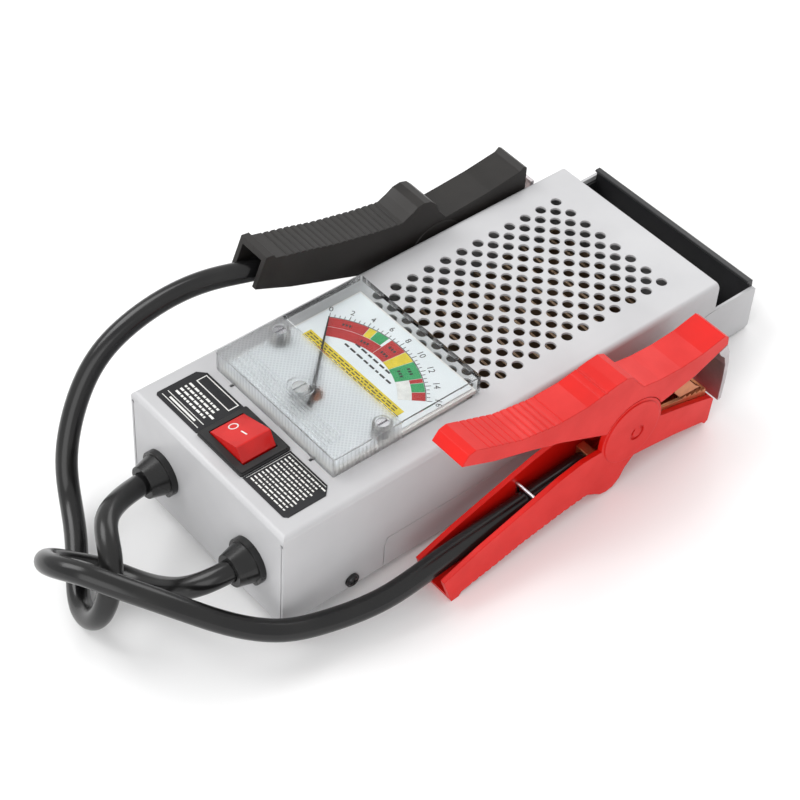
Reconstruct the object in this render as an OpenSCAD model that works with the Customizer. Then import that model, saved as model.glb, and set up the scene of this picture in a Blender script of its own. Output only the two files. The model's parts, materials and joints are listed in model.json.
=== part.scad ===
// Battery load tester. A sheet steel case carries a panel meter, a rocker
// switch and a vented heater bay. Two heavy leads end in spring clamps.
// Millimetres, +Z up, floor at z = 0. The case leans back a few degrees.

/* [Case] */
// Width of the steel case
body_width = 106; // [104:1:108]
// Length of the top cover
cover_length = 252; // [252:1:256]
// Height of the front plate
body_height = 55.6; // [54:0.2:60]
// Thickness of the sheet steel
sheet = 1.2; // [1:0.1:1.5]
// Radius of the folded top edges
edge_r = 2.6; // [2.2:0.2:4]

/* [Vent] */
// Diameter of each vent hole
vent_d = 5.2; // [3:0.1:6]
// Spacing of the vent rows along the case
vent_pitch_x = 9.91; // [9:0.01:10.2]
// Spacing of the vent holes across the case
vent_pitch_y = 10.1; // [9.6:0.1:11]

/* [Meter] */
// Height of the clear meter cover above the panel
meter_h = 10; // [9:0.5:13]
// Radius swept by the needle tip
needle_r = 47; // [42:0.5:50]
// Half of the dial sweep in degrees
dial_half = 42.5; // [35:0.5:45]

/* [Switch] */
// Length of the switch bezel across the case
bezel_l = 31; // [30:0.5:32]
// Width of the switch bezel along the case
bezel_w = 26; // [25:0.5:27]

/* [Clamps] */
// Width of each clamp
clamp_w = 18.6; // [18:0.2:20]
// Wall of the moulded clamp halves
clamp_wall = 2.5; // [2:0.1:2.5]
// Radius of the round pivot cheeks
cheek_r = 18; // [17:0.5:18]

/* [Leads] */
// Outer diameter of the two leads
lead_d = 10; // [8:0.5:10]

/* [Hidden] */
$fn = 48;
foot_x = 111;
arm_x = 280;
arm_z = 13.8;
rest_angle = atan2(arm_z, arm_x - foot_x);
half_w = body_width / 2;
arm_top = 39.4;
seam_z = 17.8;
seam_gap = 0.3;
top_z = body_height;

pivot_y = 2.5;
pivot_x = 58.2;
case_x = 65;
case_y = 2.2;
case_r = 25.5;
mx0 = 37;
mx1 = 118;
my0 = -38.5;
my1 = 42.5;
meter_screw_x = 67.5;
meter_screw_y = [37, -33];
zero_x = 52;
zero_y = 3;

rocker_x0 = 11.3;
rocker_x1 = 28.7;
rocker_drop = 2.5;

clamp_pivot = [103, 32.5];
clamp_half = clamp_w / 2;
clamp_in = clamp_half - clamp_wall;
ear_half = clamp_in - 0.3;
spring_half = 3.9;
cheek_proud = 0.5;

red_at = [-42.8, -74.3, 0];
black_turn = -1;
black_pitch = 12.34;
black_at = [-27.2, 65.8, 90.9];

// Middle of everything but the leads, taken as the origin.
front_x = -foot_x * cos(rest_angle);
rear_x = (arm_x - foot_x) * cos(rest_angle) + 38 * sin(rest_angle);
mid_x = (front_x + rear_x) / 2;
far_y = black_at[1] + clamp_half * cos(black_turn)
    + (4.3 * cos(black_pitch) - 85.3 * sin(black_pitch)) * sin(black_turn);
mid_y = (far_y + red_at[1] - clamp_half - cheek_proud) / 2;

// Case outlines seen from the side, [along, up].
cover_side = [[0, 0], [54.5, 0], [54.5, 13.1], [56, seam_z], [115, seam_z],
    [249, arm_top], [cover_length, arm_top], [cover_length, top_z + 1], [0, top_z + 1]];
chassis_side = [[54.9, 0], [foot_x, 0], [143, arm_z], [arm_x - 1.5, arm_z], [arm_x, 15],
    [arm_x, 38], [arm_x - 1.4, arm_top], [252.3, arm_top], [252.3, arm_top - seam_gap],
    [249, arm_top - seam_gap], [115, seam_z - seam_gap], [56.3, seam_z - seam_gap],
    [54.9, 13.3]];
lap_side = [[1.6, 0], [foot_x, 0], [143, arm_z], [251, arm_z], [251, top_z - sheet - 0.1],
    [249.8, top_z - sheet - 0.1], [249.8, 48], [115, 27], [1.6, 27]];
inner_side = [[2.8, 1.2], [foot_x - 0.2, 1.2], [142.8, 15], [249.8, 15], [249.8, 70], [2.8, 70]];

// Clamp outlines seen from the side, [along from handle end, up].
lead_outline = [[-1, 0], [3, 0], [4.7, 2], [25, 4.3], [38, 6.3], [62, 8.2], [78, 8.6],
    [82.5, 5.6], [86, 2.6], [90, 1.4], [94, 2], [97.6, 4.8], [100.6, 9.8], [105.8, 14.6],
    [117.4, 12], [132, 8.6],
    [150, 3.2], [152, 1], [154, 2], [156, 15.2], [154.6, 17.1], [134.7, 24.8], [119.1, 30.2],
    [110, 33], [87.6, 31.9], [73.8, 33.2], [60.4, 31.7], [15.6, 22], [-5, 16]];
back_line = [[4.7, 2], [25, 4.3], [38, 6.3], [62, 8.2], [80, 8.6]];
lead_inside = [[-10, 2.7], [3, 2.9], [25, 7], [38, 9], [62, 11], [82, 11.4], [97, 13.5],
    [101, 15.4], [106, 17.2], [118, 15], [132, 11.5], [150, 6.6], [153.4, 6.6], [153.4, 80],
    [-10, 80]];
free_outline = [[4.3, 85.3], [8, 89.4], [11.8, 89.9], [37.2, 77.1], [57.3, 71.4], [74, 69.6],
    [91, 70.9], [97, 70.9], [101, 68.6], [105.4, 61.2], [108.1, 58], [118, 55.3],
    [131, 53.3], [144.7, 52.9], [158.4, 54.7], [160.6, 52.6], [160.8, 47.9], [140.9, 41.1],
    [118.5, 38.5], [100, 38], [86, 42.9], [58.9, 58.4], [52.8, 61.1], [42.6, 66.2],
    [21.7, 75.6]];
free_inside = [[9, 84], [13, 86.3], [38, 73.7], [58, 68.2], [74, 66.6], [98, 67.5],
    [103, 59.3], [106.5, 55.2], [117.5, 52.4], [131, 50.4], [144.7, 50], [157, 51.4],
    [157, 30], [86, 30], [58, 48], [9, 72]];
neck = [[89.5, 32], [89.5, 62], [101, 66], [108, 57.5], [116.5, 53], [117, 34]];
beak_line = [[155.8, 45.6], [160.9, 47.4], [162.6, 41.5], [163.2, 34.3], [162.8, 24],
    [161.2, 11.8], [159.2, 11.8], [160.6, 24], [161, 34], [160, 39.5], [157, 43]];
tooth_line = [[124, 43], [133.2, 38.3], [131.9, 34], [135.7, 28.6], [148.6, 26.5],
    [145.7, 29.3], [141, 36], [138, 43]];

// Control points of the two leads between case and clamps, on the floor frame.
gland_y = 31;
gland_z = 24;
black_route = [[-148.5, 19, 47.5], [-155, -0.5, 45.5], [-165, -9.5, 31], [-170.5, -3, 12],
    [-168.5, 17, 2], [-151, 38.5, 11], [-140, 61.5, 13], [-134, 70.5, 30.5], [-116, 81.5, 49],
    [-97, 84.5, 64.5], [-67, 81, 74.5], [-45.5, 74, 77.5]];
red_route = [[-138, -24.5, 29], [-143.5, -1.5, 14.5], [-150, 15.5, 14.5], [-161, 23.5, 20],
    [-170, 25, 29.5], [-177, 20, 39.5], [-178.5, 8.5, 48.5], [-172.5, -5, 52.5],
    [-167, -14, 50], [-157.5, -25, 44.5], [-145.5, -37, 36], [-132.5, -48.5, 25.5],
    [-116, -60.5, 18], [-95.5, -65, 12.5], [-71.5, -73.5, 14.5]];

function on_floor(x, y, z) = [
    (x - foot_x) * cos(rest_angle) + z * sin(rest_angle),
    y,
    (foot_x - x) * sin(rest_angle) + z * cos(rest_angle)];

// ---- placing helpers ----
module placed() {
    translate([-mid_x, -mid_y, 0]) children();
}

module in_case() {
    placed() rotate([0, rest_angle, 0]) translate([-foot_x, 0, 0]) children();
}

module at_red() {
    placed() translate(red_at) children();
}

module at_black() {
    placed() translate(black_at) rotate([0, 0, black_turn]) rotate([0, black_pitch, 0])
        rotate([180, 0, 0]) children();
}

module along_x(x0, x1) {
    translate([x0, 0, 0]) rotate([90, 0, 90]) linear_extrude(x1 - x0) children();
}

module across_y(w) {
    rotate([90, 0, 0]) linear_extrude(w, center = true) children();
}

module box(lo, hi) {
    translate(lo) cube(hi - lo);
}

module folded(w, h, r) {
    translate([-w / 2, -5]) square([w, h - r + 5]);
    translate([-w / 2 + r, -5]) square([w - 2 * r, h + 5]);
    for (s = [-1, 1]) translate([s * (w / 2 - r), h - r]) circle(r);
}

module pill(l, w) {
    square([l - 2, w], center = true);
    square([l, w - 2], center = true);
    for (i = [-1, 1], j = [-1, 1]) translate([i * (l / 2 - 1), j * (w / 2 - 1)]) circle(1);
}

// ---- case ----
module vent_field() {
    for (i = [-1:11], j = [0:7])
        translate([122.7 + vent_pitch_x * i, (j - 3.5) * vent_pitch_y]) circle(d = vent_d);
    for (i = [-1:10], j = [0:6])
        translate([122.7 + vent_pitch_x * (i + 0.5), (j - 3) * vent_pitch_y]) circle(d = vent_d);
}

module panel_cutouts() {
    vent_field();
    translate([20, 0.25]) square([22.2, 28.1], center = true);
    translate([case_x, case_y]) circle(case_r + 0.3);
    for (y = meter_screw_y) translate([meter_screw_x, y]) circle(1.6);
    for (y = [29.7, -24.8]) translate([35.2, y - 0.75]) square([5.2, 1.5]);
}

module top_cover() {
    color([0.75, 0.75, 0.74]) in_case() difference() {
        intersection() {
            along_x(0, cover_length) folded(body_width, top_z, edge_r);
            across_y(body_width + 2) polygon(cover_side);
            union() {
                box([edge_r, -60, -1], [cover_length + 1, 60, top_z + 1]);
                box([-1, -60, -1], [edge_r + 1, 60, top_z - edge_r]);
                translate([edge_r, 0, top_z - edge_r]) rotate([90, 0, 0])
                    cylinder(r = edge_r, h = 120, center = true);
            }
        }
        along_x(sheet, cover_length + 1)
            folded(body_width - 2 * sheet, top_z - sheet, edge_r - sheet);
        translate([0, 0, top_z - 5]) linear_extrude(10) panel_cutouts();
        for (s = [-1, 1]) {
            box([-1, s > 0 ? half_w - sheet - 0.5 : -half_w + sheet, -1],
                [sheet + 0.01, s > 0 ? half_w - sheet : -half_w + sheet + 0.5, top_z - 5]);
            translate([0, s * (half_w - sheet), top_z - 5]) rotate([0, 90, 0])
                cylinder(r = 0.9, h = 4, center = true);
            translate([36.9, s * half_w, 4.5]) rotate([90, 0, 0])
                cylinder(r = 1.7, h = 8, center = true);
            translate([0, s * gland_y, gland_z]) rotate([0, 90, 0])
                cylinder(r = 8.1, h = 8, center = true);
        }
    }
}

module chassis_base() {
    color([0.72, 0.72, 0.72]) in_case() difference() {
        union() {
            across_y(body_width) polygon(chassis_side);
            across_y(body_width - 2 * sheet - 0.2) polygon(lap_side);
        }
        across_y(body_width - 4 * sheet - 0.2) polygon(inner_side);
        box([251, -half_w + 1.5, -1], [arm_x + 1, half_w - 1.5, 60]);
        for (s = [-1, 1]) {
            translate([36.9, s * half_w, 4.5]) rotate([90, 0, 0])
                cylinder(r = 1.5, h = 8, center = true);
            translate([1.6, s * gland_y, gland_z]) rotate([0, 90, 0])
                cylinder(r = 12.5, h = 6, center = true);
            translate([270, s * (half_w - 1.1), 27]) rotate([90, 0, 0])
                cylinder(r = 1.5, h = 1, center = true);
        }
        for (x = [20:12:92]) box([x, -30, -1], [x + 4, 30, 3]);
    }
}

module handle_grip() {
    color([0.1, 0.1, 0.1]) in_case() difference() {
        union() {
            across_y(body_width - 3.2) polygon([[276.4, 14], [278.4, 14.3], [279.8, 27],
                [278.6, 42.9], [277.8, 43.6], [275.3, 43.6], [274.8, 42.9], [275.3, 42.2],
                [276.4, 42]]);
            box([267.4, -half_w + 1.6, 14], [276.5, half_w - 1.6, 15.4]);
            translate([267.4, 0, 14.7]) rotate([90, 0, 0])
                cylinder(r = 0.7, h = body_width - 3.2, center = true);
            for (s = [-1, 1]) box([264, s > 0 ? half_w - 3.1 : -half_w + 1.6, 16],
                [277, s > 0 ? half_w - 1.6 : -half_w + 3.1, 37]);
        }
        for (s = [-1, 1]) translate([270, s * half_w, 27]) rotate([90, 0, 0])
            cylinder(r = 1.5, h = 12, center = true);
    }
}

module handle_screws() {
    color([0.2, 0.2, 0.2]) in_case() for (s = [-1, 1])
        translate([270, s * (half_w - 5.3), 27]) rotate([-90 * s, 0, 0]) {
            cylinder(r = 1.45, h = 4.6);
            cylinder(r = 3, h = 2.2);
        }
}

module cover_screws() {
    color([0.12, 0.12, 0.12]) in_case() for (s = [-1, 1])
        translate([36.9, s * half_w, 4.5]) rotate([-90 * s, 0, 0]) difference() {
            union() {
                cylinder(r = 3.4, h = 1.1);
                cylinder(r1 = 3.4, r2 = 2.2, h = 1.9);
                translate([0, 0, -6]) cylinder(r = 1.45, h = 7);
            }
            translate([0, 0, 2]) cube([4, 0.9, 1.6], center = true);
            translate([0, 0, 2]) cube([0.9, 4, 1.6], center = true);
        }
}

module label_left() {
    color([0.07, 0.07, 0.08]) in_case() translate([0, 0, top_z]) linear_extrude(0.3)
        polygon([[7.3, 16], [32.3, 16], [32.3, 42], [28.8, 45.5], [8.4, 45.5], [7.3, 44.4]]);
}

module label_right() {
    color([0.07, 0.07, 0.08]) in_case() translate([0, 0, top_z]) linear_extrude(0.3)
        polygon([[7.4, -15.9], [32.4, -15.9], [32.4, -40.5], [28.4, -44.5], [9, -44.5],
            [7.4, -42.9]]);
}

// ---- switch ----
module switch_bezel() {
    color([0.08, 0.08, 0.08]) in_case() difference() {
        translate([20, 0, top_z]) linear_extrude(1.8) pill(bezel_w, bezel_l);
        box([11, -11.7, top_z - 1], [29, 12.4, top_z + 4]);
        translate([20, 0, top_z + 1.2]) linear_extrude(2) difference() {
            pill(bezel_w + 4, bezel_l + 4);
            pill(bezel_w - 1.4, bezel_l - 1.4);
        }
    }
}

module switch_body() {
    color([0.1, 0.1, 0.1]) in_case() difference() {
        box([9.2, -13.5, top_z - 20], [30.8, 14, top_z]);
        box([11, -12, top_z - 12], [29, 12.5, top_z + 1]);
        translate([9.5, 0, top_z - rocker_drop]) rotate([0, 90, 0]) cylinder(r = 1.56, h = 21);
    }
}

module switch_rocker() {
    color([0.7, 0.08, 0.05]) in_case() translate([0, 0, top_z - rocker_drop]) {
        along_x(rocker_x0, rocker_x1) polygon([[-10.6, -2.5], [-10.6, 4.2], [-6.9, 10.3],
            [-6.2, 10.4], [11.4, 4.9], [12, 4.2], [11.6, -2.5], [7, -4], [-6, -4]]);
        translate([9.7, 0, 0]) rotate([0, 90, 0]) cylinder(r = 1.5, h = 20.6);
        translate([20, 0, -8]) cylinder(r = 1.6, h = 5);
    }
}

module switch_terminals() {
    color([0.8, 0.65, 0.3]) in_case() for (y = [-8.5, 0, 8.5]) difference() {
        box([16.8, y - 0.4, top_z - 29], [23.2, y + 0.4, top_z - 20]);
        translate([20, y, top_z - 26]) rotate([90, 0, 0]) cylinder(r = 1.1, h = 4, center = true);
    }
}

// ---- meter ----
module meter_cover() {
    color([0.85, 0.9, 0.9, 0.4]) in_case() difference() {
        union() {
            difference() {
                union() {
                    translate([(mx0 + mx1) / 2, (my0 + my1) / 2, top_z])
                        linear_extrude(meter_h) pill(mx1 - mx0, my1 - my0);
                    translate([zero_x, zero_y, top_z]) cylinder(r = 6, h = meter_h + 1.2);
                }
                box([mx0 + 1.5, my0 + 1.5, top_z - 1], [mx1 - 1.5, my1 - 1.5, top_z + meter_h - 1.6]);
            }
            for (y = meter_screw_y) translate([meter_screw_x, y, top_z + 2])
                cylinder(r = 4.6, h = meter_h - 3);
        }
        for (y = meter_screw_y) translate([meter_screw_x, y, top_z]) {
            cylinder(r = 1.6, h = 20);
            translate([0, 0, meter_h - 3]) cylinder(r = 3.3, h = 8);
        }
        translate([zero_x, zero_y, top_z]) cylinder(r = 3.56, h = 20);
        for (i = [0:5]) box([40 + i * 1.6, -30, top_z + meter_h - 0.5],
            [40.8 + i * 1.6, 34, top_z + meter_h + 1]);
        box([73.2, my0 - 1, top_z + meter_h - 0.4], [73.9, my1 + 1, top_z + meter_h + 1]);
    }
}

module meter_case() {
    color([0.82, 0.8, 0.74]) in_case() difference() {
        union() {
            box([mx0 + 1.7, my0 + 1.7, top_z], [mx1 - 1.7, my1 - 1.7, top_z + 2]);
            translate([case_x, case_y, top_z - 30]) cylinder(r = case_r, h = 31);
        }
        translate([case_x, case_y, top_z - 28.4]) cylinder(r = case_r - 1.6, h = 40);
        for (y = meter_screw_y) translate([meter_screw_x, y, top_z - 1]) cylinder(r = 1.6, h = 4);
        for (y = [-8, 12]) translate([case_x, y, top_z - 31]) cylinder(r = 2, h = 4);
    }
}

module meter_dial() {
    color([0.9, 0.88, 0.8]) in_case() translate([0, 0, top_z + 2]) linear_extrude(0.8)
        difference() {
            translate([40, my0 + 3]) square([mx1 - 43, my1 - my0 - 6]);
            translate([pivot_x, pivot_y]) circle(4.5);
            for (y = meter_screw_y) translate([meter_screw_x, y]) circle(5);
        }
}

module meter_needle() {
    color([0.05, 0.05, 0.05]) in_case() translate([pivot_x, pivot_y, top_z])
        rotate([0, 0, dial_half]) {
            translate([0, 0, 4.2]) linear_extrude(0.6) polygon([[-9, -1.4], [-9, 1.4],
                [-3, 0.8], [10, 0.7], [needle_r, 0.25], [needle_r, -0.25], [10, -0.7],
                [-3, -0.8]]);
            translate([0, 0, 3.4]) cylinder(r = 2.2, h = 1.8);
            translate([0, 0, 0]) cylinder(r = 0.7, h = 6.5);
        }
}

module meter_coil() {
    color([0.75, 0.35, 0.15]) in_case() translate([pivot_x, pivot_y, top_z])
        rotate([0, 0, dial_half]) {
            difference() {
                box([-9.4, -1.6, -18], [9.4, 1.6, 0]);
                box([-7.3, -2, -16.2], [7.3, 2, -1.8]);
            }
            translate([0, 0, 0]) cylinder(r = 3.2, h = 1.2);
            translate([0, 0, -20]) cylinder(r = 0.7, h = 3);
        }
}

module meter_magnet() {
    color([0.35, 0.35, 0.37]) in_case() translate([pivot_x, pivot_y, top_z]) {
        difference() {
            translate([0, 0, -15]) cylinder(r = 16.4, h = 12);
            translate([0, 0, -16]) cylinder(r = 11, h = 14);
        }
        translate([0, 0, -15]) cylinder(r = 6.6, h = 12);
        box([-1.5, -11.5, -15], [1.5, 11.5, -3]);
        for (s = [-1, 1]) box([-4, s > 0 ? 12 : -15.5, -28.4], [4, s > 0 ? 15.5 : -12, -10]);
        box([-4, -15.5, -28.4], [4, 15.5, -24]);
    }
}

module meter_zero_screw() {
    color([0.5, 0.5, 0.5]) in_case() translate([zero_x, zero_y, top_z]) difference() {
        union() {
            translate([0, 0, 5.6]) cylinder(r = 4.6, h = 2);
            translate([0, 0, 6]) cylinder(r = 3.5, h = meter_h - 5);
        }
        translate([0, 0, meter_h + 1]) cube([8, 1, 1.6], center = true);
    }
}

module meter_screws() {
    color([0.6, 0.6, 0.6]) in_case() for (y = meter_screw_y)
        translate([meter_screw_x, y, top_z]) difference() {
            union() {
                translate([0, 0, meter_h - 3]) cylinder(r = 3, h = 2);
                translate([0, 0, -7]) cylinder(r = 1.5, h = meter_h + 4);
            }
            translate([0, 0, meter_h - 1]) cube([7, 0.9, 1.4], center = true);
        }
}

module meter_nuts() {
    color([0.7, 0.7, 0.7]) in_case() for (y = meter_screw_y)
        translate([meter_screw_x, y, top_z - sheet - 2.4]) difference() {
            cylinder(r = 3.1, h = 2.4, $fn = 6);
            translate([0, 0, -1]) cylinder(r = 1.5, h = 5);
        }
}

module meter_studs() {
    color([0.8, 0.65, 0.3]) in_case() for (y = [-8, 12])
        translate([case_x, y, top_z - 38]) {
            cylinder(r = 1.9, h = 10.6);
            translate([0, 0, 4.6]) cylinder(r = 4, h = 3.2, $fn = 6);
        }
}

// ---- heater and wiring ----
module load_ribbon() {
    color([0.45, 0.32, 0.22]) in_case() {
        for (i = [0:14]) box([128 + 7.4 * i, i == 14 ? -39 : -34, 24],
            [129.2 + 7.4 * i, i == 0 ? 39 : 34, 40]);
        for (i = [0:13]) box([128 + 7.4 * i, i % 2 == 0 ? -34 : 32.8, 24],
            [136.6 + 7.4 * i, i % 2 == 0 ? -32.8 : 34, 40]);
    }
}

module ribbon_insulators() {
    color([0.9, 0.88, 0.82]) in_case() for (s = [-1, 1]) difference() {
        box([146, s * 24 - 5, 15], [236, s * 24 + 5, 24]);
        for (x = [154:16:226]) translate([x, s * 24, 18.5]) rotate([90, 0, 0])
            cylinder(r = 2, h = 20, center = true);
    }
}

module bus_left() {
    color([0.75, 0.42, 0.25]) in_case() {
        box([8, 39, 19], [132, 41, 29]);
        box([124, 39, 24], [132, 41, 38]);
    }
}

module bus_right() {
    color([0.75, 0.42, 0.25]) in_case() {
        box([8, -41, 19], [236, -39, 29]);
        box([228, -41, 24], [236, -39, 38]);
    }
}

module lead_lugs() {
    color([0.75, 0.42, 0.25]) in_case() for (s = [-1, 1])
        box([6, s > 0 ? 26 : -39, 19], [17, s > 0 ? 39 : -26, 29]);
}

module gland(s) {
    color([0.1, 0.1, 0.1]) in_case() translate([0, s * gland_y, gland_z]) rotate([0, -90, 0])
        difference() {
            union() {
                cylinder(r = 11, h = 3);
                translate([0, 0, 3]) cylinder(r1 = 9.6, r2 = 7.6, h = 8);
                translate([0, 0, -sheet]) cylinder(r = 8, h = sheet + 1);
                translate([0, 0, -sheet - 2.5]) cylinder(r = 9.4, h = 2.5);
            }
            translate([0, 0, -8]) cylinder(r = lead_d / 2 + 0.1, h = 30);
            box([-12, -12, 1.2], [-8.6, 12, 4]);
        }
}

module gland_left() {
    gland(1);
}

module gland_right() {
    gland(-1);
}

// ---- clamps ----
module lead_grip(c) {
    color(c) difference() {
        union() {
            across_y(clamp_w) {
                polygon(lead_outline);
                translate(clamp_pivot) circle(cheek_r, $fn = 72);
            }
            across_y(clamp_w + 2 * cheek_proud)
                translate(clamp_pivot) circle(cheek_r - 1.6, $fn = 72);
        }
        across_y(2 * clamp_in) polygon(lead_inside);
        translate([clamp_pivot[0], 0, clamp_pivot[1]]) rotate([90, 0, 0])
            cylinder(r = 3, h = clamp_w - 2, center = true);
        for (s = [-1, 1]) translate([106, s * (clamp_half + cheek_proud), 30])
            rotate([90, 0, 0]) difference() {
                cylinder(r = 4, h = 1.4, center = true);
                cylinder(r = 2.6, h = 2, center = true);
                translate([0, 3, 0]) cube([3, 6, 3], center = true);
            }
        for (i = [0:17])
            translate([11 + 3.8 * i, 0, lookup(11 + 3.8 * i, back_line) - 0.35])
                rotate([90, 0, 0]) cylinder(r = 0.9, h = 40, center = true);
    }
}

module free_grip(c) {
    color(c) difference() {
        union() {
            difference() {
                across_y(clamp_w) polygon(free_outline);
                translate([clamp_pivot[0], 0, clamp_pivot[1]]) rotate([90, 0, 0])
                    cylinder(r = cheek_r + 0.35, h = 40, center = true, $fn = 72);
                difference() {
                    across_y(2 * clamp_in) polygon(free_inside);
                    box([88.5, -20, 30], [117.5, 20, 80]);
                }
            }
            across_y(2 * ear_half) {
                translate(clamp_pivot) circle(14.5);
                polygon(neck);
            }
        }
        across_y(2 * spring_half + 0.8) polygon([[80, 10], [80, 57], [95, 62], [103, 56],
            [121, 47], [121, 10]]);
        translate([clamp_pivot[0], 0, clamp_pivot[1]]) rotate([90, 0, 0])
            cylinder(r = 3.06, h = 40, center = true);
        for (i = [0:5]) translate([19 + 3.6 * i, 0, 86.9 - 1.81 * i]) rotate([90, 0, 0])
            cylinder(r = 0.9, h = 40, center = true);
        for (i = [0:4]) translate([41 + 3.6 * i, 0, 76.6 - 1.02 * i]) rotate([90, 0, 0])
            cylinder(r = 0.9, h = 40, center = true);
        for (i = [0:7]) translate([60 + 3.6 * i, 0, 71.8 - 0.2 * i + 0.01 * i * i])
            rotate([90, 0, 0]) cylinder(r = 0.9, h = 40, center = true);
    }
}

module lead_jaw() {
    color([0.72, 0.4, 0.25]) {
        difference() {
            across_y(2 * clamp_in - 0.3) polygon([[119, 15.2], [132, 11.9], [150, 7.2],
                [153, 7.2], [153, 20.6], [152.6, 22.6], [150, 21.9], [149.4, 23.7], [146.8, 23],
                [146.2, 24.8], [143.6, 24.1], [143, 25.9], [140.4, 25.2], [139.8, 27],
                [137.2, 26.3], [135, 27.2], [122, 31]]);
            across_y(2 * clamp_in - 3.5) polygon([[110, 16.8], [132, 13.5], [151.4, 8.8],
                [151.4, 60], [110, 60]]);
        }
        across_y(7) polygon([[86, 14.1], [97, 15.4], [101, 17.2], [106, 18.4], [112, 17.4],
            [122, 14.5], [127, 13.2], [127, 15.6], [122, 17], [112, 19.4], [106, 20],
            [101, 19.2], [97, 17.4], [86, 16.7]]);
        across_y(10.6) polygon([[84, 12.4], [88.5, 12.8], [88.5, 24.5], [84, 24.5]]);
    }
}

module free_jaw() {
    color([0.72, 0.4, 0.25]) {
        across_y(2 * clamp_in - 0.4) polygon([[122, 41.2], [122, 43], [152, 44.2], [152, 42.6]]);
        difference() {
            across_y(2 * clamp_in - 0.4) polygon(tooth_line);
            across_y(2 * clamp_in - 3.6) polygon([[120, 41], [160, 41], [160, 20], [120, 20]]);
        }
    }
}

module beak() {
    color([0.6, 0.57, 0.57]) {
        across_y(clamp_w) polygon(beak_line);
        across_y(2 * clamp_in - 0.4) polygon([[122, 43], [152, 44.2], [156.6, 43.6],
            [158, 46.6], [150, 46.2], [122, 45]]);
    }
}

module pivot_pin() {
    color([0.5, 0.5, 0.5]) translate([clamp_pivot[0], 0, clamp_pivot[1]]) rotate([90, 0, 0])
        cylinder(r = 2.98, h = clamp_w - 2.2, center = true);
}

module spring_coil() {
    color([0.65, 0.65, 0.67]) translate([clamp_pivot[0], 0, clamp_pivot[1]]) {
        rotate([90, 0, 0]) for (w = [-2.85, -0.95, 0.95, 2.85])
            translate([0, 0, w]) rotate_extrude() translate([6.6, 0]) circle(0.9);
        translate([-1, -2.85, -8.6]) rotate([0, -100, 0]) cylinder(r = 0.9, h = 12);
    }
}

module spring_leg() {
    color([0.65, 0.65, 0.67]) translate([95.6, 2.7, 41]) rotate([0, -34, 0])
        cylinder(r = 1, h = 21);
}

module cable_clip() {
    color([0.7, 0.7, 0.72]) translate([50, 0, 0]) {
        for (s = [-1, 1]) translate([0, s * 5.9, 12]) cylinder(r = 0.8, h = 12.7);
        translate([0, 0, 24.7]) rotate([90, 0, 0]) cylinder(r = 0.8, h = 13.3, center = true);
    }
}

module red_lead_grip() {
    at_red() lead_grip([0.92, 0.2, 0.14]);
}

module red_free_grip() {
    at_red() free_grip([0.92, 0.2, 0.14]);
}

module red_lead_jaw() {
    at_red() lead_jaw();
}

module red_free_jaw() {
    at_red() free_jaw();
}

module red_beak() {
    at_red() beak();
}

module red_pivot() {
    at_red() pivot_pin();
}

module red_spring() {
    at_red() spring_coil();
}

module red_spring_leg() {
    at_red() spring_leg();
}

module red_clip() {
    at_red() cable_clip();
}

module black_lead_grip() {
    at_black() lead_grip([0.2, 0.2, 0.2]);
}

module black_free_grip() {
    at_black() free_grip([0.2, 0.2, 0.2]);
}

module black_lead_jaw() {
    at_black() lead_jaw();
}

module black_free_jaw() {
    at_black() free_jaw();
}

module black_beak() {
    at_black() beak();
}

module black_pivot() {
    at_black() pivot_pin();
}

module black_spring() {
    at_black() spring_coil();
}

module black_spring_leg() {
    at_black() spring_leg();
}

module black_clip() {
    at_black() cable_clip();
}

// ---- leads ----
function yaw(p, a) = [p[0] * cos(a) - p[1] * sin(a), p[0] * sin(a) + p[1] * cos(a), p[2]];
function nose(p, a) = [p[0] * cos(a) + p[2] * sin(a), p[1], -p[0] * sin(a) + p[2] * cos(a)];
function in_black(t, z) = black_at + yaw(nose([t, 0, -z], black_pitch), black_turn);
function in_red(t, z) = red_at + [t, 0, z];

black_tail = [for (q = [[0, 14], [22, 15.2], [46, 18], [66, 18.6], [83.9, 18.2]])
    in_black(q[0], q[1])];
red_tail = [for (q = [[-2, 18.6], [22, 18.6], [46, 18.6], [66, 18.6], [83.9, 18.4]])
    in_red(q[0], q[1])];
function exit_points(y) = [for (x = [5.8, -4, -13]) on_floor(x, y, gland_z)];

// Cubic spline along a row of control points, steps per span
function mix4(a, b, c, d, t) = (a + 4 * b + c + 3 * (c - a) * t + 3 * (a - 2 * b + c) * t * t
    + (d - 3 * c + 3 * b - a) * t * t * t) / 6;
function at(r, i) = i < 0 ? 2 * r[0] - r[1]
    : i >= len(r) ? 2 * r[len(r) - 1] - r[len(r) - 2] : r[i];
function smooth(r, n) = [for (i = [0:len(r) - 2], k = [0:n - 1])
    mix4(at(r, i - 1), at(r, i), at(r, i + 1), at(r, i + 2), k / n), r[len(r) - 1]];
function unit(v) = v / norm(v);
function heading(p, i) = unit(at(p, i + 1) - at(p, i - 1));
function carry(p, i, n) = i == len(p) ? []
    : let (h = heading(p, i), m = unit(n - h * (n * h))) concat([m], carry(p, i + 1, m));

module tube(route, d, sides) {
    p = smooth(route, 2);
    n = carry(p, 0, unit(cross(heading(p, 0), [0, 0, 1])));
    pts = [for (i = [0:len(p) - 1], k = [0:sides - 1]) let (h = heading(p, i),
        b = cross(h, n[i]), a = 360 * k / sides)
        p[i] + (n[i] * cos(a) + b * sin(a)) * d / 2];
    last = (len(p) - 1) * sides;
    polyhedron(pts, concat([[for (k = [0:sides - 1]) k]],
        [for (i = [0:len(p) - 2], k = [0:sides - 1])
            [i * sides + k, (i + 1) * sides + k, (i + 1) * sides + (k + 1) % sides,
                i * sides + (k + 1) % sides]],
        [[for (k = [0:sides - 1]) last + sides - 1 - k]]));
}

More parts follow.
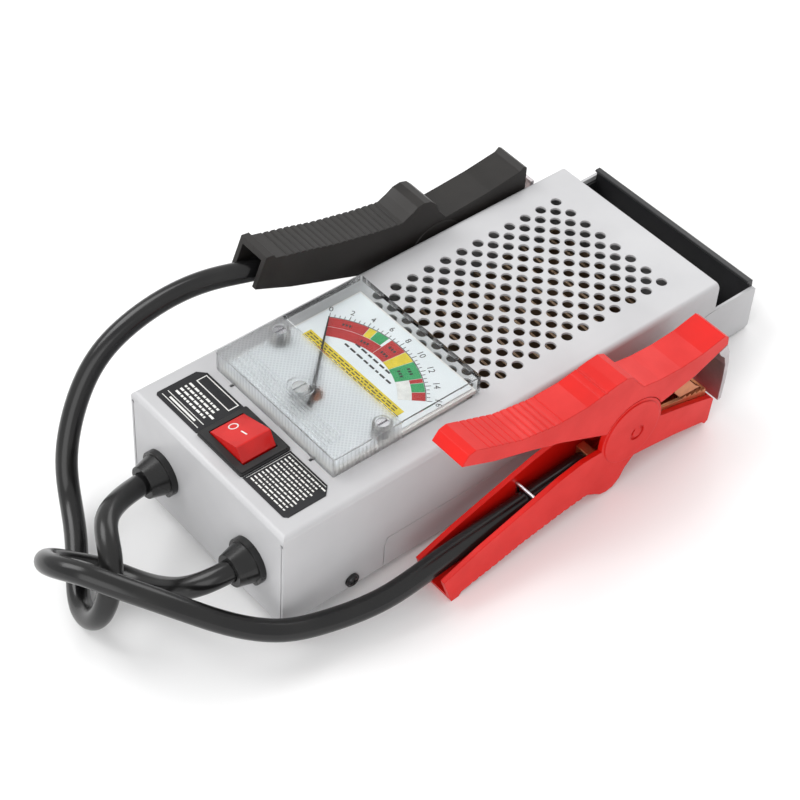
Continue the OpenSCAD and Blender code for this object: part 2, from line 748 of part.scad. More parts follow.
module black_lead() {
    color([0.08, 0.08, 0.08]) placed()
        tube(concat(exit_points(gland_y), black_route, black_tail), lead_d, 10);
}

module red_lead() {
    color([0.08, 0.08, 0.08]) placed()
        tube(concat(exit_points(-gland_y), red_route, red_tail), lead_d, 10);
}

top_cover();
chassis_base();
handle_grip();
handle_screws();
cover_screws();
label_left();
label_right();
switch_bezel();
switch_rocker();
switch_body();
switch_terminals();
meter_cover();
meter_case();
meter_dial();
meter_needle();
meter_coil();
meter_magnet();
meter_zero_screw();
meter_screws();
meter_nuts();
meter_studs();
load_ribbon();
ribbon_insulators();
bus_left();
bus_right();
lead_lugs();
gland_left();
gland_right();
black_lead();
red_lead();
red_lead_grip();
red_free_grip();
red_lead_jaw();
red_free_jaw();
red_beak();
red_pivot();
red_spring();
red_spring_leg();
red_clip();
black_lead_grip();
black_free_grip();
black_lead_jaw();
black_free_jaw();
black_beak();
black_pivot();
black_spring();
black_spring_leg();
black_clip();
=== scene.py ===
import json
import math
import random
import bpy
from mathutils import Matrix, Vector


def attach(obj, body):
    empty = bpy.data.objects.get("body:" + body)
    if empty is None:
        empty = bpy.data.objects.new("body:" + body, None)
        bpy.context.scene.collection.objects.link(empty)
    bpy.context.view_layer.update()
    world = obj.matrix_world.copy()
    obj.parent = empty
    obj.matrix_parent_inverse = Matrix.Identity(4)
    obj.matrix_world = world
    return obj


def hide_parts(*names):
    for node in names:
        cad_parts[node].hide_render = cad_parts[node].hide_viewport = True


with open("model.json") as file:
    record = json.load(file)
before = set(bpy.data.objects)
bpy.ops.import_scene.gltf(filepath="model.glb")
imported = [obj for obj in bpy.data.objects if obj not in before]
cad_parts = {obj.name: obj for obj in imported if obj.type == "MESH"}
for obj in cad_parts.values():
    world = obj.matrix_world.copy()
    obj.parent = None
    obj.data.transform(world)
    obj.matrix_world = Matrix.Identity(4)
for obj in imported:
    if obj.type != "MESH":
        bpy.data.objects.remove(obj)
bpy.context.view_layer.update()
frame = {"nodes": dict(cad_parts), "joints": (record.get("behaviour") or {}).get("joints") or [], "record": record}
random.seed(7)

MM = 0.001
record = frame["record"]
nodes = frame["nodes"]
joints = {j["name"]: j for j in frame["joints"]}

# The case leans back: its own frame comes from the base plate mount.
base = record["mounts"][0]
lean = math.atan2(-base["axis"][0], -base["axis"][2])
FOOT = 111.0
BASE_MARK = 104.0
TOP = 55.6
shift = Vector(base["pos_m"]) - Matrix.Rotation(lean, 3, "Y") @ Vector(
    ((BASE_MARK - FOOT) * MM, 0, 0))
MID_X = -shift.x
MID_Y = -shift.y
CASE = (Matrix.Translation(shift) @ Matrix.Rotation(lean, 4, "Y")
        @ Matrix.Translation((-FOOT * MM, 0, 0)))


def from_floor(x, y, z):
    """Floor frame of the case, in millimetres, to the row frame in metres."""
    return Vector((x * MM - MID_X, y * MM - MID_Y, z * MM))


def from_case(x, y, z):
    return CASE @ Vector((x * MM, y * MM, z * MM))


# ---- camera ----
def place_camera():
    data = bpy.data.cameras.new("camera")
    data.sensor_width = 36
    data.lens = 93.98
    data.clip_end = 20
    cam = bpy.data.objects.new("camera", data)
    bpy.context.scene.collection.objects.link(cam)
    right = Vector((0.7660, -0.6426, -0.0144))
    up = Vector((0.4879, 0.5667, 0.6640))
    back = right.cross(up)
    turn = Matrix((right, up, back)).transposed().to_4x4()
    cam.matrix_world = Matrix.Translation(from_floor(-392.0, -480.8, 724.4)) @ turn
    bpy.context.scene.camera = cam


place_camera()


# ---- materials ----
def new_group(name, ins, outs):
    g = bpy.data.node_groups.new(name, "ShaderNodeTree")
    for label, kind, value in ins:
        s = g.interface.new_socket(label, in_out="INPUT", socket_type=kind)
        s.default_value = value
    for label, kind in outs:
        g.interface.new_socket(label, in_out="OUTPUT", socket_type=kind)
    return g, g.nodes.new("NodeGroupInput"), g.nodes.new("NodeGroupOutput")


COLOR = "NodeSocketColor"
FLOAT = "NodeSocketFloat"
VECTOR = "NodeSocketVector"


def noise(g, coord, scale, detail=3.0):
    n = g.nodes.new("ShaderNodeTexNoise")
    n.inputs["Detail"].default_value = detail
    g.links.new(coord, n.inputs["Vector"])
    if isinstance(scale, float):
        n.inputs["Scale"].default_value = scale
    else:
        g.links.new(scale, n.inputs["Scale"])
    return n.outputs["Fac"]


def remap(g, value, low, high, to_low, to_high):
    n = g.nodes.new("ShaderNodeMapRange")
    g.links.new(value, n.inputs["Value"])
    for name, v in (("From Min", low), ("From Max", high), ("To Min", to_low), ("To Max", to_high)):
        if isinstance(v, (int, float)):
            n.inputs[name].default_value = v
        else:
            g.links.new(v, n.inputs[name])
    return n.outputs["Result"]


def mix_color(g, fac, a, b):
    n = g.nodes.new("ShaderNodeMix")
    n.data_type = "RGBA"
    g.links.new(fac, n.inputs["Factor"])
    g.links.new(a, n.inputs["A"])
    g.links.new(b, n.inputs["B"])
    return n.outputs["Result"]


def math_node(g, operation, *values):
    n = g.nodes.new("ShaderNodeMath")
    n.operation = operation
    for socket, v in zip(n.inputs, values):
        if isinstance(v, float):
            socket.default_value = v
        else:
            g.links.new(v, socket)
    return n.outputs[0]


def make_mottle():
    """Colour that drifts between two shades, and a roughness that drifts with it."""
    g, i, o = new_group("mottle", [("Shade A", COLOR, (1, 1, 1, 1)), ("Shade B", COLOR, (0, 0, 0, 1)),
                                   ("Scale", FLOAT, 60.0), ("Rough Low", FLOAT, 0.3),
                                   ("Rough High", FLOAT, 0.5)],
                        [("Color", COLOR), ("Roughness", FLOAT)])
    tc = g.nodes.new("ShaderNodeTexCoord")
    n = noise(g, tc.outputs["Object"], i.outputs["Scale"], 4.0)
    f = remap(g, n, 0.35, 0.65, 0.0, 1.0)
    g.links.new(mix_color(g, f, i.outputs["Shade A"], i.outputs["Shade B"]), o.inputs["Color"])
    r = remap(g, n, 0.3, 0.7, i.outputs["Rough Low"], i.outputs["Rough High"])
    g.links.new(r, o.inputs["Roughness"])
    return g


def make_grain():
    """Fine surface grain and softened edges, as a normal."""
    g, i, o = new_group("grain", [("Scale", FLOAT, 900.0), ("Depth", FLOAT, 0.1),
                                  ("Edge Radius", FLOAT, 0.0004)], [("Normal", VECTOR)])
    tc = g.nodes.new("ShaderNodeTexCoord")
    bevel = g.nodes.new("ShaderNodeBevel")
    bevel.samples = 4
    g.links.new(i.outputs["Edge Radius"], bevel.inputs["Radius"])
    bump = g.nodes.new("ShaderNodeBump")
    bump.inputs["Distance"].default_value = 0.0002
    g.links.new(i.outputs["Depth"], bump.inputs["Strength"])
    g.links.new(noise(g, tc.outputs["Object"], i.outputs["Scale"], 2.0), bump.inputs["Height"])
    g.links.new(bevel.outputs["Normal"], bump.inputs["Normal"])
    g.links.new(bump.outputs["Normal"], o.inputs["Normal"])
    return g


def make_edge_wear():
    """Blends a colour towards a lighter shade in patches along edges: bare metal where paint is worn, and a
    painted highlight along the copper jaw's edges.
    """
    g, i, o = new_group("edge_wear_and_sheen", [("Color", COLOR, (1, 1, 1, 1)), ("Bare", COLOR, (1, 1, 1, 1)),
                                      ("Amount", FLOAT, 0.3)], [("Color", COLOR)])
    geo = g.nodes.new("ShaderNodeNewGeometry")
    tc = g.nodes.new("ShaderNodeTexCoord")
    bevel = g.nodes.new("ShaderNodeBevel")
    bevel.samples = 4
    bevel.inputs["Radius"].default_value = 0.0006
    dot = g.nodes.new("ShaderNodeVectorMath")
    dot.operation = "DOT_PRODUCT"
    g.links.new(geo.outputs["Normal"], dot.inputs[0])
    g.links.new(bevel.outputs["Normal"], dot.inputs[1])
    edge = remap(g, dot.outputs["Value"], 0.99, 0.86, 0.0, 1.0)
    patch = remap(g, noise(g, tc.outputs["Object"], 160.0), 0.42, 0.62, 0.0, 1.0)
    wear_and_sheen_mask = math_node(g, "MULTIPLY", math_node(g, "MULTIPLY", edge, patch), i.outputs["Amount"])
    g.links.new(mix_color(g, wear_and_sheen_mask, i.outputs["Color"], i.outputs["Bare"]), o.inputs["Color"])
    return g


def make_prism():
    """A field of small pyramids over the front half of the meter cover."""
    g, i, o = new_group("prism", [("Border", FLOAT, 0.0), ("Scale", FLOAT, 500.0)],
                        [("Normal", VECTOR), ("Front", FLOAT), ("Lattice", FLOAT)])
    tc = g.nodes.new("ShaderNodeTexCoord")
    sep = g.nodes.new("ShaderNodeSeparateXYZ")
    g.links.new(tc.outputs["Object"], sep.inputs[0])
    waves = []
    for sign in (1.0, -1.0):
        across = math_node(g, "MULTIPLY", sep.outputs["Y"], sign)
        along = math_node(g, "ADD", sep.outputs["X"], across)
        scaled = math_node(g, "MULTIPLY", along, i.outputs["Scale"])
        waves.append(math_node(g, "PINGPONG", scaled, 0.5))
    front = math_node(g, "LESS_THAN", sep.outputs["X"], i.outputs["Border"])
    height = math_node(g, "MULTIPLY", math_node(g, "MINIMUM", *waves), front)
    bump = g.nodes.new("ShaderNodeBump")
    bump.inputs["Distance"].default_value = 0.001
    bump.inputs["Strength"].default_value = 0.4
    g.links.new(height, bump.inputs["Height"])
    g.links.new(bump.outputs["Normal"], o.inputs["Normal"])
    g.links.new(front, o.inputs["Front"])
    g.links.new(remap(g, height, 0.05, 0.3, 0.0, 1.0), o.inputs["Lattice"])
    return g


MOTTLE = make_mottle()
GRAIN = make_grain()
WEAR_AND_SHEEN = make_edge_wear()
PRISM = make_prism()


def use_group(tree, group, **values):
    n = tree.nodes.new("ShaderNodeGroup")
    n.node_tree = group
    for name, v in values.items():
        n.inputs[name.replace("_", " ")].default_value = v
    return n


def finish_material(name, a, b, rough, scale=60.0, grain=900.0, depth=0.08, edge=0.0004,
                    bare_and_sheen=None, wear_and_sheen=0.3, **plain):
    """A Principled material with drifting shade and roughness, grain and soft edges."""
    m = bpy.data.materials.new(name)
    m.use_nodes = True
    t = m.node_tree
    p = t.nodes["Principled BSDF"]
    mot = use_group(t, MOTTLE, Shade_A=(*a, 1), Shade_B=(*b, 1), Scale=scale,
                    Rough_Low=rough[0], Rough_High=rough[1])
    color = mot.outputs["Color"]
    if bare_and_sheen is not None:
        w = use_group(t, WEAR_AND_SHEEN, Bare=(*bare_and_sheen, 1), Amount=wear_and_sheen)
        t.links.new(color, w.inputs["Color"])
        color = w.outputs["Color"]
    t.links.new(color, p.inputs["Base Color"])
    t.links.new(mot.outputs["Roughness"], p.inputs["Roughness"])
    gr = use_group(t, GRAIN, Scale=grain, Depth=depth, Edge_Radius=edge)
    t.links.new(gr.outputs["Normal"], p.inputs["Normal"])
    for key, v in plain.items():
        p.inputs[key.replace("_", " ")].default_value = v
    return m


def case_paint():
    return finish_material("case_paint", (0.5, 0.5, 0.51), (0.46, 0.46, 0.47), (0.34, 0.44), 25.0,
                           1800.0, 0.05, 0.0005, (0.62, 0.62, 0.62), 0.25, Specular_IOR_Level=0.5)


def grip_black():
    return finish_material("grip_black", (0.013, 0.013, 0.014), (0.02, 0.02, 0.022), (0.34, 0.48), 40.0,
                           Specular_IOR_Level=0.35)


def screw_black():
    return finish_material("screw_black", (0.03, 0.03, 0.032), (0.05, 0.05, 0.05), (0.25, 0.4), 200.0,
                           Metallic=0.8)


def label_film():
    return finish_material("label_film", (0.011, 0.011, 0.013), (0.016, 0.016, 0.018), (0.4, 0.55), 80.0,
                           Specular_IOR_Level=0.3)


def moulded_black():
    return finish_material("moulded_black", (0.013, 0.013, 0.014), (0.019, 0.019, 0.019), (0.34, 0.46), 90.0,
                           Specular_IOR_Level=0.35)


def rocker_plastic():
    return finish_material("rocker_plastic", (0.58, 0.008, 0.006), (0.48, 0.006, 0.005), (0.12, 0.2),
                           60.0, 900.0, 0.03, Coat_Weight=0.2, Specular_IOR_Level=0.3)


def brass():
    return finish_material("brass", (0.72, 0.5, 0.2), (0.6, 0.42, 0.18), (0.2, 0.35), 120.0, Metallic=1.0)


def clear_plastic():
    """Clear cover: plain over the scale, milky with a lattice of small prisms in front of it."""
    m = bpy.data.materials.new("clear_plastic")
    m.use_nodes = True
    t = m.node_tree
    p = t.nodes["Principled BSDF"]
    mot = use_group(t, MOTTLE, Shade_A=(0.98, 0.99, 0.99, 1), Shade_B=(0.95, 0.97, 0.97, 1), Scale=30.0,
                    Rough_Low=0.02, Rough_High=0.06)
    pr = use_group(t, PRISM, Border=from_case(73.3, 0, TOP + 10).x, Scale=480.0)
    line = t.nodes.new("ShaderNodeMix")
    line.data_type = "RGBA"
    line.inputs["B"].default_value = (0.78, 0.78, 0.79, 1)
    t.links.new(pr.outputs["Lattice"], line.inputs["Factor"])
    t.links.new(mot.outputs["Color"], line.inputs["A"])
    t.links.new(line.outputs["Result"], p.inputs["Base Color"])
    haze = math_node(t, "MULTIPLY_ADD", pr.outputs["Front"], 0.3, mot.outputs["Roughness"])
    t.links.new(haze, p.inputs["Roughness"])
    t.links.new(pr.outputs["Normal"], p.inputs["Normal"])
    p.inputs["Transmission Weight"].default_value = 1.0
    p.inputs["Metallic"].default_value = 0.0
    p.inputs["IOR"].default_value = 1.18
    return m


def cream_plastic():
    return finish_material("cream_plastic", (0.86, 0.85, 0.82), (0.8, 0.79, 0.76), (0.4, 0.55), 50.0)


def dial_paint():
    return finish_material("dial_paint", (0.82, 0.86, 0.88), (0.78, 0.82, 0.84), (0.45, 0.6), 60.0)


def copper():
    return finish_material("copper", (0.72, 0.3, 0.14), (0.6, 0.24, 0.12), (0.22, 0.4), 110.0, Metallic=1.0)


def jaw_copper():
    # The peach edge colour is a painted highlight along the copper edges of the jaws.
    return finish_material("jaw_copper", (0.66, 0.24, 0.1), (0.5, 0.2, 0.1), (0.24, 0.42), 140.0,
                           bare_and_sheen=(0.8, 0.42, 0.28), wear_and_sheen=0.5, Metallic=0.9)


def dull_iron():
    return finish_material("dull_iron", (0.16, 0.16, 0.17), (0.22, 0.22, 0.23), (0.5, 0.7), 90.0,
                           Metallic=0.9)


def bright_steel():
    return finish_material("bright_steel", (0.58, 0.58, 0.6), (0.5, 0.5, 0.52), (0.2, 0.34), 160.0,
                           Metallic=1.0)


def beak_plate():
    # Darker, pinkish grey: painted shade and a painted reflection of the red clamp cover on the steel.
    return finish_material("beak_plate", (0.5, 0.46, 0.47), (0.42, 0.39, 0.4), (0.28, 0.42), 120.0,
                           bare_and_sheen=(0.7, 0.68, 0.68), wear_and_sheen=0.5, Metallic=0.9)


def ribbon_metal():
    return finish_material("ribbon_metal", (0.3, 0.2, 0.13), (0.42, 0.3, 0.2), (0.35, 0.55), 70.0,
                           Metallic=0.8)


def ceramic():
    return finish_material("ceramic", (0.82, 0.8, 0.76), (0.76, 0.74, 0.7), (0.55, 0.75), 70.0)


def gland_rubber():
    return finish_material("gland_rubber", (0.008, 0.008, 0.008), (0.012, 0.012, 0.012), (0.2, 0.34), 90.0,
                           Specular_IOR_Level=0.42)


def lead_jacket():
    return finish_material("lead_jacket", (0.006, 0.006, 0.0065), (0.01, 0.0098, 0.0095), (0.17, 0.27),
                           45.0, 500.0, 0.08, Specular_IOR_Level=0.42)


def clamp_red():
    return finish_material("clamp_red", (0.68, 0.008, 0.004), (0.6, 0.006, 0.003), (0.34, 0.46), 50.0,
                           1400.0, 0.1, 0.0006, Specular_IOR_Level=0.3)


def clamp_black():
    return finish_material("clamp_black", (0.014, 0.0125, 0.0115), (0.02, 0.018, 0.0165), (0.4, 0.52), 60.0,
                           1400.0, 0.12, 0.0006, Specular_IOR_Level=0.3)


def zero_plastic():
    return finish_material("zero_plastic", (0.72, 0.74, 0.74), (0.66, 0.68, 0.68), (0.15, 0.25), 80.0,
                           Transmission_Weight=0.6)


def needle_paint():
    return finish_material("needle_paint", (0.012, 0.012, 0.012), (0.02, 0.02, 0.02), (0.4, 0.55), 90.0)


def ink(name, color):
    dim = tuple(0.86 * c for c in color)
    return finish_material(name, color, dim, (0.45, 0.6), 300.0, 1500.0, 0.02)


FINISHES = {
    "case_grey": case_paint(), "black_grip": grip_black(), "dark_screw": screw_black(),
    "label_black": label_film(), "black_plastic": moulded_black(), "rocker_red": rocker_plastic(),
    "brass": brass(), "clear_cover": clear_plastic(), "meter_cream": cream_plastic(),
    "dial_face": dial_paint(), "needle_black": needle_paint(), "copper": copper(),
    "magnet_steel": dull_iron(), "zero_screw": zero_plastic(), "bright_screw": bright_steel(),
    "ribbon_alloy": ribbon_metal(), "insulator": ceramic(), "black_rubber": gland_rubber(),
    "lead_jacket": lead_jacket(), "red_plastic": clamp_red(), "clamp_black": clamp_black(),
    "jaw_copper": jaw_copper(), "beak_steel": beak_plate(), "pin_steel": bright_steel(),
    "spring_steel": bright_steel(), "clip_steel": bright_steel(),
}


def dress_nodes():
    for part in record["subparts"]:
        o = nodes[part["node"]]
        o.data.materials.clear()
        o.data.materials.append(FINISHES[part["material_slot"]])


dress_nodes()


# ---- leads ----
LEAD_D = 10.0
CLAMP_PIVOT = (103.0, 32.5)
black_pin = Vector(joints["black_clamp_open"]["pos_m"])
black_axis = Vector(joints["black_clamp_open"]["axis"])
red_pin = Vector(joints["red_clamp_open"]["pos_m"])
BLACK_TURN = math.atan2(-black_axis.x, black_axis.y)
BLACK_PITCH = math.radians(12.34)
BLACK_CLAMP = (Matrix.Translation(black_pin) @ Matrix.Rotation(BLACK_TURN, 4, "Z")
               @ Matrix.Rotation(BLACK_PITCH, 4, "Y") @ Matrix.Rotation(math.pi, 4, "X"))
RED_CLAMP = Matrix.Translation(red_pin)


def on_clamp(clamp, t, z, w=0.0):
    """A point on a clamp: t from its handle end, w across, z up from its lead half."""
    return clamp @ Vector(((t - CLAMP_PIVOT[0]) * MM, w * MM, (z - CLAMP_PIVOT[1]) * MM))


def black_points():
    return [(-148.5, 19, 47.5), (-155, -0.5, 45.5), (-165, -9.5, 31), (-170.5, -3, 12),
            (-168.5, 17, 2), (-151, 38.5, 11), (-140, 61.5, 13), (-134, 70.5, 30.5),
            (-116, 81.5, 49), (-97, 84.5, 64.5), (-67, 81, 74.5), (-45.5, 74, 77.5)]


def red_points():
    return [(-138, -24.5, 29), (-143.5, -1.5, 14.5), (-150, 15.5, 14.5), (-161, 23.5, 20),
            (-170, 25, 29.5), (-177, 20, 39.5), (-178.5, 8.5, 48.5), (-172.5, -5, 52.5),
            (-167, -14, 50), (-157.5, -25, 44.5), (-145.5, -37, 36), (-132.5, -48.5, 25.5),
            (-116, -60.5, 18), (-95.5, -65, 12.5), (-71.5, -73.5, 14.5)]


def lead_route(y, points, clamp, tail):
    """Control points of a lead: straight out of the gland, the loops, then into the clamp."""
    route = [from_case(x, y, 24) for x in (5.8, -4, -13)]
    route += [from_floor(*p) for p in points]
    return route + [on_clamp(clamp, t, z) for t, z in tail]


def smooth(route, steps):
    """Cubic spline along a row of control points, ends kept."""
    row = [2 * route[0] - route[1]] + route + [2 * route[-1] - route[-2]]
    out = []
    for a, b, c, d in zip(row, row[1:], row[2:], row[3:]):
        for k in range(steps):
            t = k / steps
            out.append((a + 4 * b + c + 3 * (c - a) * t + 3 * (a - 2 * b + c) * t * t
                        + (d - 3 * c + 3 * b - a) * t * t * t) / 6)
    return out + [route[-1]]


def make_lead(name, node, route):
    pts = smooth(route, 8)
    data = bpy.data.curves.new(name, "CURVE")
    data.dimensions = "3D"
    data.bevel_depth = LEAD_D * MM / 2
    data.bevel_resolution = 8
    data.use_fill_caps = True
    spline = data.splines.new("POLY")
    spline.points.add(len(pts) - 1)
    for p, v in zip(spline.points, pts):
        p.co = (*v, 1)
    spline.use_smooth = True
    o = bpy.data.objects.new(name, data)
    bpy.context.scene.collection.objects.link(o)
    data.materials.append(FINISHES["lead_jacket"])
    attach(o, "case")
    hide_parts(node)
    return o


black_tail = ((0, 14), (22, 15.2), (46, 18), (66, 18.6), (83.9, 18.2))
red_tail = ((-2, 18.6), (22, 18.6), (46, 18.6), (66, 18.6), (83.9, 18.4))
make_lead("black_lead_jacket", "black_lead", lead_route(31, black_points(), BLACK_CLAMP, black_tail))
make_lead("red_lead_jacket", "red_lead", lead_route(-31, red_points(), RED_CLAMP, red_tail))


# ---- small pieces on the case ----
def add_mesh(name, verts, faces, material, body, place=CASE):
    data = bpy.data.meshes.new(name)
    data.from_pydata([tuple(c * MM for c in v) for v in verts], [], faces)
    data.transform(place)
    data.update()
    data.materials.append(material)
    o = bpy.data.objects.new(name, data)
    bpy.context.scene.collection.objects.link(o)
    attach(o, body)
    return o


def slab(verts, faces, corners, low, high):
    """Adds a thin prism over a flat outline to the lists."""
    k = len(verts)
    n = len(corners)
    verts += [(x, y, low) for x, y in corners] + [(x, y, high) for x, y in corners]
    faces += [tuple(k + n + i for i in range(n)), tuple(k + n - 1 - i for i in range(n))]
    faces += [(k + i, k + (i + 1) % n, k + n + (i + 1) % n, k + n + i) for i in range(n)]


def rect(x0, y0, x1, y1):
    return [(x0, y0), (x1, y0), (x1, y1), (x0, y1)]


PIVOT = (58.2, 2.5)
HALF = 42.5
DIAL_Z = TOP + 2.8


def dial_angle(value):
    return math.radians(HALF - value / 16.0 * 2 * HALF)


def sector(verts, faces, r0, r1, v0, v1, low, high):
    """A band of the dial between two scale values."""
    steps = max(1, int((v1 - v0) * 3))
    for i in range(steps):
        a = dial_angle(v0 + (v1 - v0) * i / steps)
        b = dial_angle(v0 + (v1 - v0) * (i + 1) / steps)
        ring = [(PIVOT[0] + r * math.cos(t), PIVOT[1] + r * math.sin(t))
                for r, t in ((r0, b), (r1, b), (r1, a), (r0, a))]
        slab(verts, faces, ring, low, high)


def print_row(verts, faces, x, start, stop, words, half, gap, low, high):
    """Bars of uneven length that stand for a line of print."""
    y = start
    while y > stop:
        w = random.uniform(*words)
        slab(verts, faces, rect(x - half, y - w, x + half, y), low, high)
        y -= w + gap


def color_fields(lists):
    """Fields of the scale from inner to outer radius and between two scale values."""
    inner, middle, outer = 36.4, 42.4, 48.3
    fields = [("red", middle + 0.1, outer, 0, 4.2), ("yellow", middle + 0.1, outer, 4.25, 5.1),
              ("green", middle + 0.1, outer, 5.15, 6.6), ("red", inner, middle - 0.1, 0, 6.9),
              ("red", inner, outer, 6.95, 9.0), ("yellow", inner, outer, 9.05, 10.5),
              ("green", inner, outer, 10.55, 12.9), ("red", middle + 0.1, outer, 12.95, 13.5),
              ("green", middle + 0.1, outer, 13.55, 14.8), ("red", middle + 0.1, outer, 14.85, 16.0),
              ("white", inner, middle - 0.1, 13.0, 16.0)]
    for color, r0, r1, v0, v1 in fields:
        sector(*lists[color], r0, r1, v0, v1, DIAL_Z, DIAL_Z + 0.05)
    slab(*lists["yellow"], rect(77.0, -29.5, 82.6, 34.0), DIAL_Z, DIAL_Z + 0.05)


def on_dial(value, corners):
    """Corners given as radius and sideways offset at one scale value."""
    a = dial_angle(value)
    c, s = math.cos(a), math.sin(a)
    return [(PIVOT[0] + r * c - e * s, PIVOT[1] + r * s + e * c) for r, e in corners]


def scale_ticks(verts, faces):
    w = 0.16
    for i in range(33):
        r1 = 51.3 if i % 4 == 0 else 50.4
        line = on_dial(i / 2.0, ((48.9, -w), (r1, -w), (r1, w), (48.9, w)))
        slab(verts, faces, line, DIAL_Z, DIAL_Z + 0.06)
    sector(verts, faces, 48.4, 48.75, 0, 16, DIAL_Z, DIAL_Z + 0.06)


def field_words(verts, faces):
    """Three short bars where each colour field has a word."""
    for value, r in ((2.0, 45.2), (5.0, 39.3), (8.0, 44.5), (8.0, 40.0), (11.7, 44.5), (11.7, 40.0)):
        for k in (-1.6, 0.0, 1.6):
            line = on_dial(value, ((r - 0.7, k - 0.5), (r + 0.7, k - 0.5),
                                   (r + 0.7, k + 0.5), (r - 0.7, k + 0.5)))
            slab(verts, faces, line, DIAL_Z + 0.05, DIAL_Z + 0.09)


def dial_print():
    inks = {"red": ink("ink_red", (0.5, 0.018, 0.018)), "yellow": ink("ink_yellow", (0.8, 0.62, 0.03)),
            "green": ink("ink_green", (0.03, 0.36, 0.12)), "white": ink("ink_white", (0.85, 0.85, 0.82)),
            "black": ink("ink_black", (0.03, 0.03, 0.03))}
    lists = {k: ([], []) for k in inks}
    color_fields(lists)
    scale_ticks(*lists["black"])
    for x in (78.4, 79.8, 81.2):
        print_row(*lists["black"], x, 33.0, -27.0, (1.2, 3.6), 0.28, 0.9, DIAL_Z + 0.05, DIAL_Z + 0.09)
    field_words(*lists["black"])
    for x, half in ((92.5, 12.0), (88.8, 15.0)):
        print_row(*lists["black"], x, 3.0 + half, 3.0 - half, (1.6, 3.8), 0.5, 1.1, DIAL_Z, DIAL_Z + 0.05)
    for k, (verts, faces) in lists.items():
        add_mesh("dial_" + k, verts, faces, inks[k], "case")
    return inks


INKS = dial_print()


def dial_numbers():
    for value in range(0, 17, 2):
        data = bpy.data.curves.new("number_%d" % value, "FONT")
        data.body = str(value)
        data.size = 4.2 * MM
        data.align_x = "CENTER"
        data.align_y = "CENTER"
        data.extrude = 0.02 * MM
        data.materials.append(INKS["black"])
        o = bpy.data.objects.new("number_%d" % value, data)
        bpy.context.scene.collection.objects.link(o)
        a = dial_angle(value)
        r = 53.6
        spot = Vector(((PIVOT[0] + r * math.cos(a)) * MM, (PIVOT[1] + r * math.sin(a)) * MM,
                       (DIAL_Z + 0.03) * MM))
        o.matrix_world = CASE @ Matrix.Translation(spot) @ Matrix.Rotation(a - math.pi / 2, 4, "Z")
        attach(o, "case")


dial_numbers()


def left_label(verts, faces, low, high):
    """An empty frame, four rows of print, two lines and a bar between them."""
    for x0, y0, x1, y1 in ((25.6, 18.0, 31.2, 18.5), (25.6, 40.6, 31.2, 41.1),
                           (25.6, 18.5, 26.1, 40.6), (30.7, 18.5, 31.2, 40.6)):
        slab(verts, faces, rect(x0, y0, x1, y1), low, high)
    for x in (22.6, 20.2, 17.8, 15.4):
        print_row(verts, faces, x, 41.5, 21.0, (1.0, 3.2), 0.55, 0.6, low, high)
    for x in (9.4, 12.4):
        slab(verts, faces, rect(x, 18.0, x + 0.4, 43.5), low, high)
    slab(verts, faces, rect(10.6, 22.0, 11.6, 40.0), low, high)


def right_label(verts, faces, low, high):
    """Eleven rows of print with a fine line on two sides."""
    for i in range(11):
        print_row(verts, faces, 29.6 - i * 1.95, -18.0, -40.0, (0.8, 2.8), 0.36, 0.55, low, high)
    for x0, y0, x1, y1 in ((8.6, -17.0, 31.4, -16.8), (31.2, -41.0, 31.4, -17.0)):
        slab(verts, faces, rect(x0, y0, x1, y1), low, high)


def label_marks():
    """Plain printed bars on both label plates."""
    verts, faces = [], []
    left_label(verts, faces, TOP + 0.3, TOP + 0.36)
    right_label(verts, faces, TOP + 0.3, TOP + 0.36)
    add_mesh("label_print", verts, faces, INKS["white"], "case")


label_marks()


def rocker_marks():
    """An open ring at the off end and a bar at the on end of the rocker."""
    run, rise = -17.6, 5.5
    slope = math.atan2(rise, -run)
    face = (CASE @ Matrix.Translation((20 * MM, 11.4 * MM, (TOP - 2.5 + 4.9) * MM))
            @ Matrix.Rotation(-slope, 4, "X"))
    verts, faces = [], []
    n = 28
    for i in range(n):
        a, b = 2 * math.pi * i / n, 2 * math.pi * (i + 1) / n
        ring = [(r * math.cos(t), -4.6 + r * math.sin(t))
                for r, t in ((1.7, a), (2.3, a), (2.3, b), (1.7, b))]
        slab(verts, faces, ring, -0.02, 0.06)
    slab(verts, faces, rect(-0.35, -14.4, 0.35, -10.2), -0.02, 0.06)
    add_mesh("rocker_print", verts, faces, INKS["white"], "rocker", face)


rocker_marks()


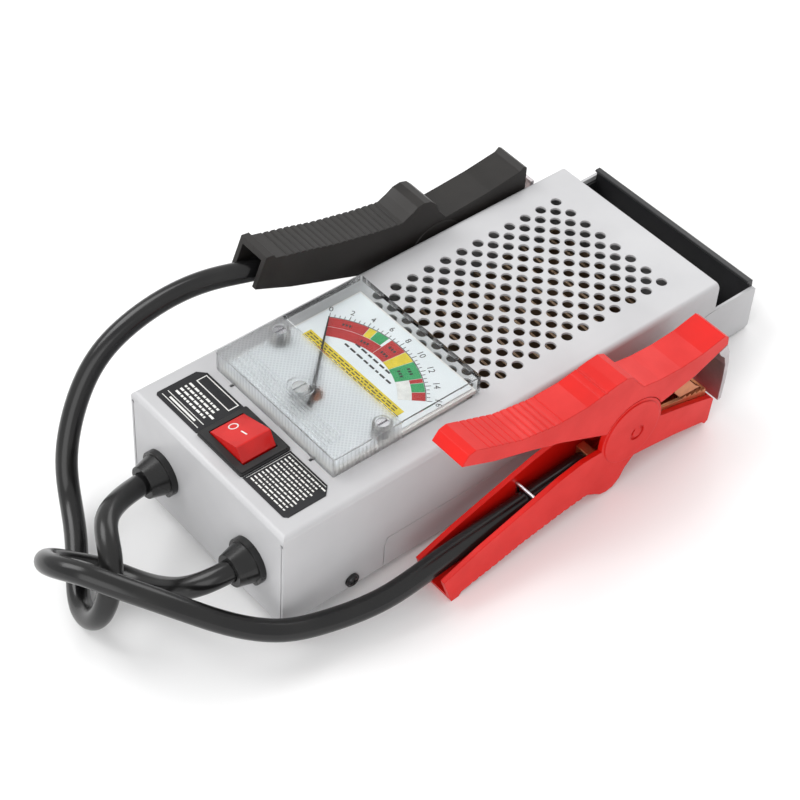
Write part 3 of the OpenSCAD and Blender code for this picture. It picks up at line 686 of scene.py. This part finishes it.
def hair_spring():
    """A flat spiral on the needle arbor."""
    data = bpy.data.curves.new("hair_spring", "CURVE")
    data.dimensions = "3D"
    data.bevel_depth = 0.12 * MM
    data.bevel_resolution = 2
    s = data.splines.new("POLY")
    n = 120
    s.points.add(n)
    for i in range(n + 1):
        a = 2 * math.pi * 4 * i / n
        r = (1.0 + 4.2 * i / n) * MM
        p = from_case(*PIVOT, TOP + 3.1) + (CASE.to_3x3() @ Vector((r * math.cos(a), r * math.sin(a), 0)))
        s.points[i].co = (*p, 1)
    data.materials.append(FINISHES["copper"])
    o = bpy.data.objects.new("hair_spring", data)
    bpy.context.scene.collection.objects.link(o)
    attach(o, "needle")


hair_spring()


# ---- floor, light ----
def add_floor():
    size = 3.0
    data = bpy.data.meshes.new("floor")
    data.from_pydata([(-size, -size, 0), (size, -size, 0), (size, size, 0), (-size, size, 0)], [],
                     [(0, 1, 2, 3)])
    o = bpy.data.objects.new("floor", data)
    bpy.context.scene.collection.objects.link(o)
    o.location.z = -0.0002
    m = bpy.data.materials.new("floor_white")
    m.use_nodes = True
    p = m.node_tree.nodes["Principled BSDF"]
    mot = use_group(m.node_tree, MOTTLE, Shade_A=(0.93, 0.93, 0.93, 1), Shade_B=(0.92, 0.92, 0.92, 1),
                    Scale=3.0, Rough_Low=0.75, Rough_High=0.85)
    m.node_tree.links.new(mot.outputs["Color"], p.inputs["Base Color"])
    m.node_tree.links.new(mot.outputs["Roughness"], p.inputs["Roughness"])
    data.materials.append(m)


def add_light():
    bpy.context.scene.view_settings.view_transform = "Standard"
    world = bpy.data.worlds.new("studio")
    world.use_nodes = True
    world.node_tree.nodes["Background"].inputs["Color"].default_value = (1, 1, 1, 1)
    world.node_tree.nodes["Background"].inputs["Strength"].default_value = 0.85
    bpy.context.scene.world = world
    for name, spot, watts, wide in (("key", (-0.5, 0.9, 1.3), 11, 0.9), ("fill", (-1.2, -0.6, 0.7), 8, 1.2),
                                    ("rim", (1.1, 0.4, 0.9), 5, 0.8)):
        light = bpy.data.lights.new(name, "AREA")
        light.energy = watts
        light.size = wide
        lo = bpy.data.objects.new(name, light)
        bpy.context.scene.collection.objects.link(lo)
        lo.location = spot
        lo.rotation_euler = (-Vector(spot)).to_track_quat("-Z", "Y").to_euler()


add_floor()
add_light()

bpy.context.view_layer.update()
